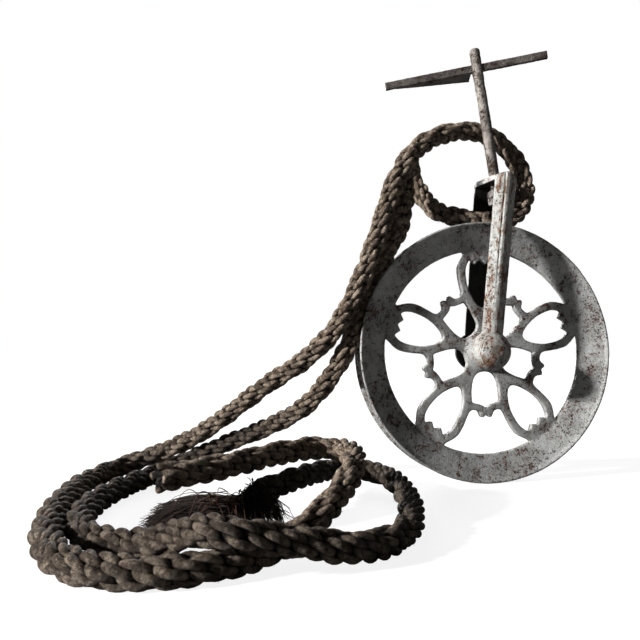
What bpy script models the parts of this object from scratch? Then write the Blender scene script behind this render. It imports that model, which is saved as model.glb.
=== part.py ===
"""Cast-iron well pulley on a swivel rod with a T bar, with its old rope lying beside it.

Metres, +Z up. The wheel stands on the floor in a plane across Y. The origin is on the floor, midway
between the yoke's two arms.
"""

import math

import bmesh
import bpy
from mathutils import Matrix, Vector

# Wheel (sheave): radii from its axle, half widths from its own middle plane
WHEEL_R = 0.1525
WHEEL_Y = -0.003
LIP_OUTER_HALF = 0.0165
LIP_INNER_HALF = 0.013
GROOVE_R = 0.135
GROOVE_HALF = 0.005
INNER_RIM_R = 0.1214
INNER_RIM_HALF = 0.0044
WEB_HALF = 0.0038
WEB_EDGE_R = 0.1235
HUB_R = 0.0165
HUB_FOOT_R = 0.0235
HUB_HALF = 0.0195
HUB_BORE_R = 0.0071
PETALS = 5
RIM_STEPS = 60
HUB_STEPS = 30

# Half outlines of the wheel's windows, in millimetres: distance out along the window's own middle
# line, and distance to its side
PETAL_HALF = [(51.5, 0), (54, 5), (60, 9.8), (67, 13.6), (75, 16.8), (84, 18.6), (94, 19.3), (102, 18),
              (107.5, 14.8), (109.5, 13), (103.7, 6.5), (109.5, 0)]
HUB_WINDOW_HALF = [(23.8, 0), (25, 8), (29.5, 13), (36, 15.5), (46, 17), (60, 17), (61.5, 10), (63.5, 4),
                   (67, 0)]
RIM_WINDOW_HALF = [(74.5, 0), (78, 4), (77.5, 6.5), (70.5, 9), (68.5, 13), (69.1, 20.6), (81.4, 25.8),
                   (92.2, 31.4), (100, 37.7), (106.4, 52.6)]
RIM_WINDOW_R = 0.1206
RIM_WINDOW_ARC = 26.0

# Yoke: an inverted U that leans over the wheel, measured along its own height above the axle
YOKE_LEAN = math.radians(6.8)
ARM_GAP_HALF = 0.0235
ARM_FLARE = 0.0067
ARM_WIDTH = 0.0255
ARM_SIDE = 0.0035
ARM_RIDGE_HALF = 0.002
ARM_DEPTH = 0.011
ARCH_SIDE = 0.007
ARCH_DEPTH = 0.0115
ARCH_UNDERSIDE = 0.2028
ARCH_CORNER_R = 0.003
ARCH_SLOPE = 0.12
CORNER_SQUARENESS = 0.75
ARM_FOOT = -0.004
TAPER_START = 0.150
BOSS_R = 0.0235
BOSS_REACH = 0.0223
BOSS_STEP = 0.0002
AXLE_R = 0.0065
AXLE_BORE_R = 0.0068
AXLE_PROUD = 0.0003

# Swivel rod, its nuts and its cross bar. Heights are above the axle.
ROD_R = 0.00635
ROD_TILT = math.radians(-7.1)
ROD_AT = Vector((0.0234, 0.0, 0.2185))
ROD_LOW = 0.1745
ROD_TOP = 0.3715
ROD_HOLE_R = 0.0072
NUT_ACROSS = 0.0195
NUT_HEIGHT = 0.009
NUT_BORE_R = 0.0067
NUT_CENTRE = 0.1910
JAM_NUT_CENTRE = 0.1816
BAR_CENTRE = 0.3466
BAR_TURN = math.radians(-16.3)
BAR_DEPTH = 0.0054
BAR_HEIGHT = 0.009
BAR_LEFT = 0.113
BAR_RIGHT = 0.084
BAR_SLACK = 0.0003
FIN_WIDTH = 0.025
FIN_THICK = 0.003
FIN_FROM = 0.0078
FIN_TO = 0.106
TIP_LIFT = 0.0004

# Rope: both stretches start in the groove under the arch and end on the floor
ROPE_R = 0.0105
ROPE_GAP_HALF = 0.0002
ROPE_START = Vector((0.014, -0.003, 0.309))
ROPE_LEAD = 0.008
ROPE_STEP = 0.046
BLUNT_RUN = [
    (0.047, -0.001, 0.315), (0.065, 0.007, 0.340), (0.068, 0.015, 0.372), (0.054, 0.020, 0.402),
    (0.025, 0.020, 0.423), (-0.015, 0.015, 0.425), (-0.067, -0.001, 0.401), (-0.103, -0.015, 0.355),
    (-0.125, -0.018, 0.296), (-0.148, -0.019, 0.239), (-0.176, -0.010, 0.185), (-0.209, 0.016, 0.149),
    (-0.253, 0.047, 0.119), (-0.295, 0.080, 0.086), (-0.337, 0.113, 0.056), (-0.386, 0.142, 0.031),
    (-0.419, 0.145, 0.020), (-0.440, 0.134, 0.014), (-0.458, 0.099, 0.011), (-0.467, 0.038, 0.011),
    (-0.467, -0.024, 0.011), (-0.463, -0.086, 0.011), (-0.454, -0.147, 0.011), (-0.439, -0.208, 0.011),
    (-0.411, -0.263, 0.011), (-0.371, -0.291, 0.011), (-0.325, -0.293, 0.011), (-0.272, -0.265, 0.012),
    (-0.228, -0.225, 0.028), (-0.196, -0.176, 0.048), (-0.185, -0.121, 0.056), (-0.193, -0.095, 0.057),
    (-0.213, -0.088, 0.0585), (-0.250, -0.112, 0.059), (-0.303, -0.158, 0.056), (-0.358, -0.193, 0.054),
]
FRAYED_RUN = [
    (-0.034, 0.012, 0.320), (-0.047, 0.032, 0.335), (-0.060, 0.057, 0.374), (-0.066, 0.050, 0.390),
    (-0.073, 0.034, 0.394), (-0.085, 0.0105, 0.368), (-0.090, -0.002, 0.334), (-0.094, -0.007, 0.317),
    (-0.099, -0.008, 0.300), (-0.121, -0.003, 0.258), (-0.151, -0.002, 0.186), (-0.178, 0.010, 0.132),
    (-0.210, 0.041, 0.091), (-0.252, 0.076, 0.065), (-0.301, 0.108, 0.044), (-0.343, 0.126, 0.025),
    (-0.364, 0.120, 0.017), (-0.388, 0.086, 0.012), (-0.412, 0.029, 0.011), (-0.428, -0.030, 0.011),
    (-0.434, -0.091, 0.011), (-0.428, -0.152, 0.011), (-0.406, -0.203, 0.011), (-0.365, -0.232, 0.013), (-0.339, -0.262, 0.025), (-0.317, -0.289, 0.0345),
    (-0.299, -0.299, 0.034), (-0.2825, -0.296, 0.030), (-0.254, -0.290, 0.023), (-0.208, -0.277, 0.013),
    (-0.168, -0.239, 0.011), (-0.145, -0.182, 0.012), (-0.132, -0.122, 0.014), (-0.128, -0.060, 0.017),
    (-0.137, -0.021, 0.019), (-0.155, -0.008, 0.022), (-0.178, -0.015, 0.025), (-0.210, -0.055, 0.029),
    (-0.239, -0.109, 0.033), (-0.278, -0.156, 0.030)]
# The frayed end's spread: centre and radius, from the rope's end to the tips on the floor
FRAY = [((-0.2784, -0.1565, 0.0300), 0.0100), ((-0.2824, -0.1613, 0.0297), 0.0112),
        ((-0.2910, -0.1690, 0.0225), 0.0140), ((-0.3150, -0.1640, 0.0168), 0.0155),
        ((-0.3460, -0.1500, 0.0140), 0.0130), ((-0.3760, -0.1360, 0.0118), 0.0110)]

HUB = Vector((0.0, 0.0, WHEEL_R))

for old in list(bpy.data.objects):
    bpy.data.objects.remove(old, do_unlink=True)

PARTS = bpy.data.collections.new("well_pulley")
CUTTERS = bpy.data.collections.new("cutters")
for folder in (PARTS, CUTTERS):
    bpy.context.scene.collection.children.link(folder)


def material(name, colour, roughness, metallic):
    """A Principled BSDF material in one plain colour."""
    made = bpy.data.materials.new(name)
    made.use_nodes = True
    shader = made.node_tree.nodes["Principled BSDF"]
    shader.inputs["Base Color"].default_value = (*colour, 1.0)
    shader.inputs["Roughness"].default_value = roughness
    shader.inputs["Metallic"].default_value = metallic
    return made


def add_object(name, data, folder=PARTS, look=None):
    """Put a mesh or curve in a collection under its own name."""
    made = bpy.data.objects.new(name, data)
    folder.objects.link(made)
    if look:
        made.data.materials.clear()
        made.data.materials.append(look)
    return made


def from_bmesh(name, shape, folder=PARTS, look=None):
    """Turn a bmesh into an object and free it."""
    bmesh.ops.recalc_face_normals(shape, faces=shape.faces)
    mesh = bpy.data.meshes.new(name)
    shape.to_mesh(mesh)
    shape.free()
    return add_object(name, mesh, folder, look)


def freeze(made):
    """Replace an object's curve or modifiers by the mesh that they make, in world space."""
    bpy.context.view_layer.update()
    graph = bpy.context.evaluated_depsgraph_get()
    mesh = bpy.data.meshes.new_from_object(made.evaluated_get(graph))
    mesh.transform(made.matrix_world)
    welded = bmesh.new()
    welded.from_mesh(mesh)
    bmesh.ops.remove_doubles(welded, verts=welded.verts, dist=0.00001)
    bmesh.ops.recalc_face_normals(welded, faces=welded.faces)
    name = made.name
    folder = made.users_collection[0]
    bpy.data.objects.remove(made, do_unlink=True)
    return from_bmesh(name, welded, folder)


def boolean(target, tool, operation):
    """Join a tool to the target, or cut it away; the tool goes with the cutters."""
    for folder in list(tool.users_collection):
        folder.objects.unlink(tool)
    CUTTERS.objects.link(tool)
    tool.hide_render = True
    tool.display_type = "WIRE"
    step = target.modifiers.new(operation.lower(), "BOOLEAN")
    step.operation = operation
    step.object = tool
    step.solver = "EXACT"


def turned(name, profile, steps, folder=PARTS):
    """Spin a profile of (radius, height) points about Z. It closes on itself unless it ends on the axis."""
    shape = bmesh.new()
    points = [shape.verts.new((radius, 0.0, height)) for radius, height in profile]
    closing = [] if profile[-1][0] == 0.0 else points[:1]
    for first, second in zip(points, points[1:] + closing):
        shape.edges.new((first, second))
    mesh = bpy.data.meshes.new(name)
    shape.to_mesh(mesh)
    shape.free()
    made = add_object(name, mesh, folder)
    screw = made.modifiers.new("turn", "SCREW")
    screw.steps = steps
    screw.render_steps = steps
    screw.use_merge_vertices = True
    screw.merge_threshold = 0.00001
    return made


def cylinder(name, radius, low, high, sides=32, folder=PARTS):
    """A closed cylinder along Z between two heights."""
    shape = bmesh.new()
    bmesh.ops.create_cone(shape, cap_ends=True, segments=sides, radius1=radius, radius2=radius,
                          depth=high - low, matrix=Matrix.Translation((0, 0, (low + high) / 2)))
    return from_bmesh(name, shape, folder)


def block(name, low, high, folder=PARTS):
    """A closed box between two corners."""
    shape = bmesh.new()
    low, high = Vector(low), Vector(high)
    size = Matrix.Diagonal((*(high - low), 1.0))
    bmesh.ops.create_cube(shape, size=1.0, matrix=Matrix.Translation((low + high) / 2) @ size)
    return from_bmesh(name, shape, folder)


# ---------------------------------------------------------------- wheel

def mirrored(half):
    """Close a half outline, given outwards from its middle line and back to it, in metres."""
    there = [(u / 1000, v / 1000) for u, v in half]
    back = [(u, -v) for u, v in reversed(there) if v > 0]
    return there + back


def rim_window():
    """A window between two petals: the bridge, both petals' sides and an arc of the rim."""
    half = [(u / 1000, v / 1000) for u, v in RIM_WINDOW_HALF]
    arc = [math.radians(RIM_WINDOW_ARC * (1 - step / 4)) for step in range(9)]
    rim = [(RIM_WINDOW_R * math.cos(a), RIM_WINDOW_R * math.sin(a)) for a in arc]
    return half + rim + [(u, -v) for u, v in reversed(half[1:])]


def web_outlines():
    """The web's outlines in its own plane: its edge, its axle hole and its fifteen windows."""
    def ring(radius, steps):
        return [(radius * math.cos(math.tau * k / steps), radius * math.sin(math.tau * k / steps))
                for k in range(steps)]

    outlines = [ring(WEB_EDGE_R, 48), ring(0.012, 24)]
    for petal in range(PETALS):
        petal_turn = math.tau * petal / PETALS + math.radians(90)
        window_turn = petal_turn + math.radians(36)
        for outline, turn in ((mirrored(PETAL_HALF), petal_turn), (mirrored(HUB_WINDOW_HALF), window_turn),
                              (rim_window(), window_turn)):
            c, s = math.cos(turn), math.sin(turn)
            outlines.append([(u * c - v * s, u * s + v * c) for u, v in outline])
    return outlines


def build_sheave(look):
    """The cast wheel: grooved rim, pierced web of five petals, and hub."""
    rim = turned("sheave", [
        (WHEEL_R, LIP_OUTER_HALF), (WHEEL_R, LIP_INNER_HALF), (GROOVE_R, GROOVE_HALF),
        (GROOVE_R, -GROOVE_HALF), (WHEEL_R, -LIP_INNER_HALF), (WHEEL_R, -LIP_OUTER_HALF),
        (INNER_RIM_R, -INNER_RIM_HALF), (INNER_RIM_R, INNER_RIM_HALF)], RIM_STEPS)
    hub = turned("hub_core", [
        (HUB_R, HUB_HALF), (HUB_R + 0.001, 0.010), (HUB_FOOT_R, 0.0045), (HUB_FOOT_R, -0.0045),
        (HUB_R + 0.001, -0.010), (HUB_R, -HUB_HALF), (HUB_BORE_R, -HUB_HALF), (HUB_BORE_R, HUB_HALF)],
        HUB_STEPS)
    flat = bpy.data.curves.new("web", "CURVE")
    flat.dimensions = "2D"
    flat.fill_mode = "BOTH"
    flat.extrude = WEB_HALF
    for outline in web_outlines():
        spline = flat.splines.new("POLY")
        spline.points.add(len(outline) - 1)
        for point, (x, y) in zip(spline.points, outline):
            point.co = (x, y, 0.0, 1.0)
        spline.use_cyclic_u = True
    rim = freeze(rim)
    hub = freeze(hub)
    web = freeze(add_object("web", flat))
    boolean(rim, web, "UNION")
    boolean(rim, hub, "UNION")
    rim = freeze(rim)
    rim.data.transform(Matrix.Translation(HUB + Vector((0, WHEEL_Y, 0))) @ Matrix.Rotation(math.pi / 2, 4, "X"))
    set_origin(rim, HUB)
    rim.data.materials.append(look)
    return rim


def set_origin(made, place):
    """Move an object's origin to a place without moving its surface."""
    made.data.transform(Matrix.Translation(-place))
    made.location = place


# ---------------------------------------------------------------- yoke

def yoke_stations():
    """Rings of the yoke's bar: (y, z) on its inner face, outward direction, side height and depth.

    The arms spread a little towards the arch, whose corners are nearly square, and the back arm is longer.
    """
    stations = []
    bend = ARM_GAP_HALF + ARM_FLARE - ARCH_CORNER_R
    rise = ARCH_UNDERSIDE - ARCH_CORNER_R
    for z in (ARM_FOOT, 0.06, TAPER_START):
        stations.append((-ARM_GAP_HALF - ARM_FLARE * max(z, 0.0) / rise, z, math.pi, ARM_SIDE, ARM_DEPTH))
    for step in range(5):
        turn = math.pi - step * math.pi / 8
        share = (step + 1) / 5
        square = max(abs(math.cos(turn)), abs(math.sin(turn))) ** -CORNER_SQUARENESS
        stations.append((-bend + ARCH_CORNER_R * math.cos(turn), rise + ARCH_CORNER_R * math.sin(turn), turn,
                         (ARM_SIDE + (ARCH_SIDE - ARM_SIDE) * share) * square,
                         (ARM_DEPTH + (ARCH_DEPTH - ARM_DEPTH) * share) * square))
    stations += [(-y, z, math.pi - turn, side, depth) for y, z, turn, side, depth in reversed(stations)]
    return [(y, z * (1 + ARCH_SLOPE * y / rise), turn, side, depth) for y, z, turn, side, depth in stations]


def build_yoke(look):
    """The forged yoke: one ridged bar bent over the wheel, with a domed boss at each foot."""
    half = ARM_WIDTH / 2
    shape = bmesh.new()
    rings = []
    for y, z, turn, side, depth in yoke_stations():
        out = Vector((0, math.cos(turn), math.sin(turn)))
        section = [(-half, 0), (half, 0), (half, side), (ARM_RIDGE_HALF, depth),
                   (-ARM_RIDGE_HALF, depth), (-half, side)]
        rings.append([shape.verts.new(Vector((x, y, z)) + out * rise) for x, rise in section])
    for low, high in zip(rings, rings[1:]):
        for k in range(len(low)):
            after = (k + 1) % len(low)
            shape.faces.new((low[k], low[after], high[after], high[k]))
    shape.faces.new(rings[0])
    shape.faces.new(rings[-1])
    yoke = from_bmesh("yoke", shape)
    for side, name in ((-1, "front_boss"), (1, "back_boss")):
        dome = [(0.0, BOSS_REACH)]
        start = math.asin(BOSS_REACH / BOSS_R)
        dome += [(BOSS_R * math.cos(start * (1 - k / 6)), BOSS_R * math.sin(start * (1 - k / 6)))
                 for k in range(7)]
        boss = freeze(turned(name, dome + [(0.0, 0.0)], 28))
        boss.data.transform(Matrix.Translation((0, side * (ARM_GAP_HALF + BOSS_STEP), 0))
                            @ Matrix.Rotation(-side * math.pi / 2, 4, "X"))
        boolean(yoke, boss, "UNION")
    lean = Matrix.Translation(HUB) @ Matrix.Rotation(YOKE_LEAN, 4, "Y")
    yoke = freeze(yoke)
    yoke.data.transform(lean)
    bore = cylinder("axle_bore", AXLE_BORE_R, -0.06, 0.06)
    bore.data.transform(Matrix.Translation(HUB) @ Matrix.Rotation(math.pi / 2, 4, "X"))
    boolean(yoke, bore, "DIFFERENCE")
    hole = cylinder("rod_hole", ROD_HOLE_R, -0.02, 0.02)
    hole.data.transform(rod_frame(ROD_AT.z))
    boolean(yoke, hole, "DIFFERENCE")
    yoke = freeze(yoke)
    set_origin(yoke, HUB)
    yoke.data.materials.append(look)
    return yoke


def build_axle(look):
    """The plain axle pin through both bosses and the wheel's hub."""
    reach = ARM_GAP_HALF + BOSS_STEP + BOSS_REACH + AXLE_PROUD
    axle = cylinder("axle_pin", AXLE_R, -reach, reach, 24)
    axle.rotation_euler = (math.pi / 2, 0, 0)
    axle.location = HUB
    axle.data.materials.append(look)
    return axle


# ---------------------------------------------------------------- swivel rod

def rod_frame(height):
    """The frame on the rod's axis at a height above the axle, its Z along the rod."""
    run = (height - ROD_AT.z) * math.tan(ROD_TILT)
    place = HUB + Vector((ROD_AT.x + run, ROD_AT.y, height))
    return Matrix.Translation(place) @ Matrix.Rotation(ROD_TILT, 4, "Y")


def bar_frame():
    """The cross bar's frame: X along the bar to the right, Z along the rod."""
    return rod_frame(BAR_CENTRE) @ Matrix.Rotation(BAR_TURN, 4, "Z")


def build_rod(look):
    """The round swivel rod, with a rounded head and a slot for the cross bar."""
    length = (ROD_TOP - ROD_LOW) / math.cos(ROD_TILT)
    crown = 0.0035
    rod = turned("swivel_rod", [
        (0.0, length), (ROD_R * 0.45, length - 0.0004), (ROD_R * 0.85, length - 0.0015),
        (ROD_R, length - crown), (ROD_R, 0.001), (ROD_R - 0.001, 0.0), (0.0, 0.0)], 24)
    rod = freeze(rod)
    rod.data.transform(rod_frame(ROD_LOW))
    slot = block("bar_slot", (-0.02, -BAR_DEPTH / 2 - BAR_SLACK, -BAR_HEIGHT / 2 - BAR_SLACK),
                 (0.02, BAR_DEPTH / 2 + BAR_SLACK, BAR_HEIGHT / 2 + BAR_SLACK))
    slot.data.transform(bar_frame())
    boolean(rod, slot, "DIFFERENCE")
    rod = freeze(rod)
    set_origin(rod, HUB + ROD_AT)
    rod.data.materials.append(look)
    return rod


def build_nut(name, height, turn, look):
    """A square nut with chamfered corners, on the rod's lower end."""
    half = NUT_ACROSS / 2
    nut = block(name, (-half, -half, -NUT_HEIGHT / 2), (half, half, NUT_HEIGHT / 2))
    bevel = nut.modifiers.new("chamfer", "BEVEL")
    bevel.width = 0.0008
    bevel.segments = 1
    bore = cylinder(name + "_bore", NUT_BORE_R, -0.01, 0.01, 24)
    boolean(nut, bore, "DIFFERENCE")
    nut = freeze(nut)
    nut.data.transform(rod_frame(height) @ Matrix.Rotation(turn, 4, "Z"))
    set_origin(nut, rod_frame(height).translation)
    nut.data.materials.append(look)
    return nut


def build_bar(look):
    """The cross bar on edge through the rod, with a tapering fin along the back of its left half."""
    half = BAR_DEPTH / 2
    bar = block("cross_bar", (-BAR_LEFT, -half, -BAR_HEIGHT / 2), (BAR_RIGHT, half, BAR_HEIGHT / 2))
    fin = bmesh.new()
    root = half - 0.001
    low, high = -BAR_HEIGHT / 2, -BAR_HEIGHT / 2 + FIN_THICK
    outline = [(-FIN_TO, root), (-FIN_FROM, root), (-FIN_FROM, half + FIN_WIDTH)]
    bottom = [fin.verts.new((x, y, low)) for x, y in outline]
    top = [fin.verts.new((x, y, high)) for x, y in outline]
    fin.faces.new(bottom)
    fin.faces.new(top)
    for k in range(3):
        after = (k + 1) % 3
        fin.faces.new((bottom[k], bottom[after], top[after], top[k]))
    boolean(bar, from_bmesh("bar_fin", fin), "UNION")
    bar = freeze(bar)
    split = bmesh.new()
    split.from_mesh(bar.data)
    for x in (-FIN_FROM, FIN_FROM):
        everything = [*split.verts, *split.edges, *split.faces]
        bmesh.ops.bisect_plane(split, geom=everything, dist=0.00001, plane_co=(x, 0, 0), plane_no=(1, 0, 0))
    for vert in split.verts:
        if vert.co.x > BAR_RIGHT - 0.0001 and vert.co.z < 0:
            vert.co.z += TIP_LIFT
    split.to_mesh(bar.data)
    split.free()
    bar.data.transform(bar_frame())
    set_origin(bar, bar_frame().translation)
    bar.data.materials.append(look)
    return bar


# ---------------------------------------------------------------- rope

def smooth_route(points, per_span=24):
    """A centripetal Catmull-Rom curve through the points, as a dense list."""
    points = [Vector(p) for p in points]
    points = [points[0] * 2 - points[1]] + points + [points[-1] * 2 - points[-2]]
    dense = []
    for p0, p1, p2, p3 in zip(points, points[1:], points[2:], points[3:]):
        t1 = (p1 - p0).length ** 0.5
        t2 = t1 + (p2 - p1).length ** 0.5
        t3 = t2 + (p3 - p2).length ** 0.5
        for step in range(per_span):
            t = t1 + (t2 - t1) * step / per_span
            a1 = p0.lerp(p1, t / t1)
            a2 = p1.lerp(p2, (t - t1) / (t2 - t1))
            a3 = p2.lerp(p3, (t - t2) / (t3 - t2))
            b1 = a1.lerp(a2, t / t2)
            b2 = a2.lerp(a3, (t - t1) / (t3 - t1))
            dense.append(b1.lerp(b2, (t - t1) / (t2 - t1)))
    return dense + [points[-2]]


def spaced(dense, lead, step):
    """Points along a dense curve: its start, one a short lead further, then one every step."""
    length = sum((b - a).length for a, b in zip(dense, dense[1:]))
    count = round((length - lead) / step)
    marks = [0.0] + [lead + (length - lead) * k / count for k in range(count + 1)]
    found = []
    travelled = 0.0
    for a, b in zip(dense, dense[1:]):
        span = (b - a).length
        while len(found) < len(marks) and marks[len(found)] <= travelled + span + 1e-9:
            found.append(a.lerp(b, (marks[len(found)] - travelled) / span))
        travelled += span
    return found


def build_rope(name, side, run, look):
    """A rope stretch as a plain tube, leaving the groove towards one side."""
    start = ROPE_START + Vector((side * ROPE_GAP_HALF, 0, 0))
    lead = start + Vector((side * ROPE_LEAD, 0, 0))
    centre = spaced(smooth_route([start, lead] + run), ROPE_LEAD, ROPE_STEP)
    tube = bpy.data.curves.new(name, "CURVE")
    tube.dimensions = "3D"
    tube.bevel_depth = ROPE_R
    tube.bevel_resolution = 2
    tube.use_fill_caps = True
    spline = tube.splines.new("POLY")
    spline.points.add(len(centre) - 1)
    for point, place in zip(spline.points, centre):
        point.co = (*place, 1.0)
    return add_object(name, tube, PARTS, look)


def build_fray(look):
    """The unlaid end of the rope, as one solid that spreads and droops to the floor."""
    brush = bpy.data.curves.new("rope_frayed_end", "CURVE")
    brush.dimensions = "3D"
    brush.bevel_depth = 1.0
    brush.bevel_resolution = 2
    brush.use_fill_caps = True
    spline = brush.splines.new("POLY")
    spline.points.add(len(FRAY) - 1)
    for point, (place, radius) in zip(spline.points, FRAY):
        point.co = (*place, 1.0)
        point.radius = radius
    return add_object("rope_frayed_end", brush, PARTS, look)


cast_iron = material("weathered_cast_iron", (0.42, 0.41, 0.39), 0.55, 0.6)
forged_iron = material("forged_iron", (0.50, 0.48, 0.45), 0.5, 0.6)
axle_steel = material("axle_steel", (0.36, 0.27, 0.21), 0.6, 0.6)
rod_iron = material("rusty_rod_iron", (0.24, 0.21, 0.19), 0.65, 0.5)
bar_iron = material("rusty_bar_iron", (0.22, 0.19, 0.18), 0.7, 0.5)
nut_iron = material("dark_nut_iron", (0.16, 0.14, 0.13), 0.7, 0.5)
old_rope = material("old_rope", (0.15, 0.11, 0.08), 0.95, 0.0)
loose_fibre = material("loose_fibre", (0.07, 0.05, 0.04), 1.0, 0.0)

build_sheave(cast_iron)
build_yoke(forged_iron)
build_axle(axle_steel)
build_rod(rod_iron)
build_nut("swivel_nut", NUT_CENTRE, 0.0, nut_iron)
build_nut("jam_nut", JAM_NUT_CENTRE, math.radians(45), nut_iron)
build_bar(bar_iron)
build_rope("rope_blunt_run", 1, BLUNT_RUN, old_rope)
build_rope("rope_frayed_run", -1, FRAYED_RUN, old_rope)
build_fray(loose_fibre)
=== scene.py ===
"""Looks of the well pulley: camera and rope first, then the castings, the rod's pieces, floor and light."""

import math

import bmesh
import bpy
import numpy as np
from mathutils import Matrix, Vector


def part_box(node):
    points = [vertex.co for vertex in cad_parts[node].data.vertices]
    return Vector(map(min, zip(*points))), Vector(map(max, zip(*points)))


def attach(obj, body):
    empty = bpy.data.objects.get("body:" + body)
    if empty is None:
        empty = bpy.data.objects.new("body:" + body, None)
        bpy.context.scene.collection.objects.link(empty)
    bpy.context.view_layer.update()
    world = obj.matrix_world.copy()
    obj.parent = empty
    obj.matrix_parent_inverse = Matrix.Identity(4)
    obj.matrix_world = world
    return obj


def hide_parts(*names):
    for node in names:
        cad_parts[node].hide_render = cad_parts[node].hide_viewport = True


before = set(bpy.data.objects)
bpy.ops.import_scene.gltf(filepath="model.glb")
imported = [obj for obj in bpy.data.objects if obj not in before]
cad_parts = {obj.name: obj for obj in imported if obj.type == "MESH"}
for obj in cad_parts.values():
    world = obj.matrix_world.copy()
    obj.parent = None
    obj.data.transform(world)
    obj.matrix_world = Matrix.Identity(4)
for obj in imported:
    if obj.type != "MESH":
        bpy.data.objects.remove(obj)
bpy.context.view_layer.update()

# ---------------------------------------------------------------- sizes, in metres

WHEEL_LOW, WHEEL_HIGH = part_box("sheave")
HUB = (WHEEL_LOW + WHEEL_HIGH) / 2
WHEEL_R = (WHEEL_HIGH.z - WHEEL_LOW.z) / 2
AXLE = Vector((0.0, 0.0, HUB.z))

YOKE_LEAN = math.radians(6.8)
ARM_GAP_HALF = 0.0235
ARM_FLARE = 0.0067
ARM_HALF = 0.01275
ARM_SIDE = 0.0035
ARM_RIDGE_HALF = 0.002
ARM_DEPTH = 0.011
ARCH_SIDE = 0.007
ARCH_DEPTH = 0.0115
ARCH_UNDERSIDE = 0.2028
ARCH_CORNER_R = 0.003
ARCH_SLOPE = 0.12
CORNER_SQUARENESS = 0.75
BOSS_R = 0.0235
BOSS_REACH = 0.0225

ROD_R = 0.00635
ROD_TILT = math.radians(-7.1)
ROD_AT = Vector((0.0234, 0.0, 0.2185))
ROD_LOW = 0.1745
ROD_TOP = 0.3715
NUT_ACROSS = 0.0195
NUT_HEIGHT = 0.009
NUT_CENTRE = 0.1910
JAM_NUT_CENTRE = 0.1816
BAR_CENTRE = 0.3466
BAR_TURN = math.radians(-16.3)
BAR_DEPTH = 0.0054
BAR_HEIGHT = 0.009
BAR_LEFT = 0.113
BAR_RIGHT = 0.084
FIN_WIDTH = 0.025
FIN_THICK = 0.003
FIN_FROM = 0.0078
FIN_TO = 0.106

ROPE_D = 0.021
ROPE_START = Vector((0.014, -0.003, 0.309))
ROPE_GAP_HALF = 0.0002
ROPE_LEAD = 0.008
BLUNT_RUN = [
    (0.047, -0.001, 0.315), (0.065, 0.007, 0.340), (0.068, 0.015, 0.372), (0.054, 0.020, 0.402),
    (0.025, 0.020, 0.423), (-0.015, 0.015, 0.425), (-0.067, -0.001, 0.401), (-0.103, -0.015, 0.355),
    (-0.125, -0.018, 0.296), (-0.148, -0.019, 0.239), (-0.176, -0.010, 0.185), (-0.209, 0.016, 0.149),
    (-0.253, 0.047, 0.119), (-0.295, 0.080, 0.086), (-0.337, 0.113, 0.056), (-0.386, 0.142, 0.031),
    (-0.419, 0.145, 0.020), (-0.440, 0.134, 0.014), (-0.458, 0.099, 0.011), (-0.467, 0.038, 0.011),
    (-0.467, -0.024, 0.011), (-0.463, -0.086, 0.011), (-0.454, -0.147, 0.011), (-0.439, -0.208, 0.011),
    (-0.411, -0.263, 0.011), (-0.371, -0.291, 0.011), (-0.325, -0.293, 0.011), (-0.272, -0.265, 0.012),
    (-0.228, -0.225, 0.028), (-0.196, -0.176, 0.048), (-0.185, -0.121, 0.056), (-0.193, -0.095, 0.057),
    (-0.213, -0.088, 0.0585), (-0.250, -0.112, 0.059), (-0.303, -0.158, 0.056), (-0.358, -0.193, 0.054),
]
FRAYED_RUN = [
    (-0.034, 0.012, 0.320), (-0.047, 0.032, 0.335), (-0.060, 0.057, 0.374), (-0.066, 0.050, 0.390),
    (-0.073, 0.034, 0.394), (-0.085, 0.0105, 0.368), (-0.090, -0.002, 0.334), (-0.094, -0.007, 0.317),
    (-0.099, -0.008, 0.300), (-0.121, -0.003, 0.258), (-0.151, -0.002, 0.186), (-0.178, 0.010, 0.132),
    (-0.210, 0.041, 0.091), (-0.252, 0.076, 0.065), (-0.301, 0.108, 0.044), (-0.343, 0.126, 0.025),
    (-0.364, 0.120, 0.017), (-0.388, 0.086, 0.012), (-0.412, 0.029, 0.011), (-0.428, -0.030, 0.011),
    (-0.434, -0.091, 0.011), (-0.428, -0.152, 0.011), (-0.406, -0.203, 0.011), (-0.365, -0.232, 0.013),
    (-0.339, -0.262, 0.025), (-0.317, -0.289, 0.0345), (-0.299, -0.299, 0.034), (-0.2825, -0.296, 0.030),
    (-0.254, -0.290, 0.023), (-0.208, -0.277, 0.013), (-0.168, -0.239, 0.011), (-0.145, -0.182, 0.012),
    (-0.132, -0.122, 0.014), (-0.128, -0.060, 0.017), (-0.137, -0.021, 0.019), (-0.155, -0.008, 0.022),
    (-0.178, -0.015, 0.025), (-0.210, -0.055, 0.029), (-0.239, -0.109, 0.033), (-0.278, -0.156, 0.030),
]

STRANDS = 4
STRAND_RING = 0.0059
STRAND_LAY = 0.060
YARNS = 2
YARN_RING = 0.0023
YARN_LAY = 0.022
YARN_R = 0.0031
YARN_SIDES = 12
YARN_UV_LENGTH = 0.017
THREADS = 13

# How much the strands swell, at places along X.
SWELL_X = [-0.46, -0.38, -0.30, -0.12]
SWELL = [1.22, 1.14, 1.05, 1.10]

ROPE_PITCH = 0.0022
SPAN_STEPS = 24
ROPE_FLOOR = 0.0003
CROWN_FROM = 0.004
BLUNT_PHASE = 0.4
FRAYED_PHASE = 1.1

STRAY_COUNT = 900
STRAY_LENGTH = (0.004, 0.011)
STRAY_RISE = (0.15, 0.6)
STRAY_ROOT = 0.0022
STRAY_FLOOR = 0.0008
STRAY_R = (0.00012, 0.00026)
FIBRE_TIP_SHARE = 0.35

# ---------------------------------------------------------------- camera

CAMERA_AT = Vector((-0.3020, -0.7346, 0.1458))
CAMERA_YAW = math.radians(8.328)
CAMERA_PITCH = math.radians(3.6)
CAMERA_ROLL = math.radians(-1.293)
CAMERA_LENS = 36.28


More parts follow.
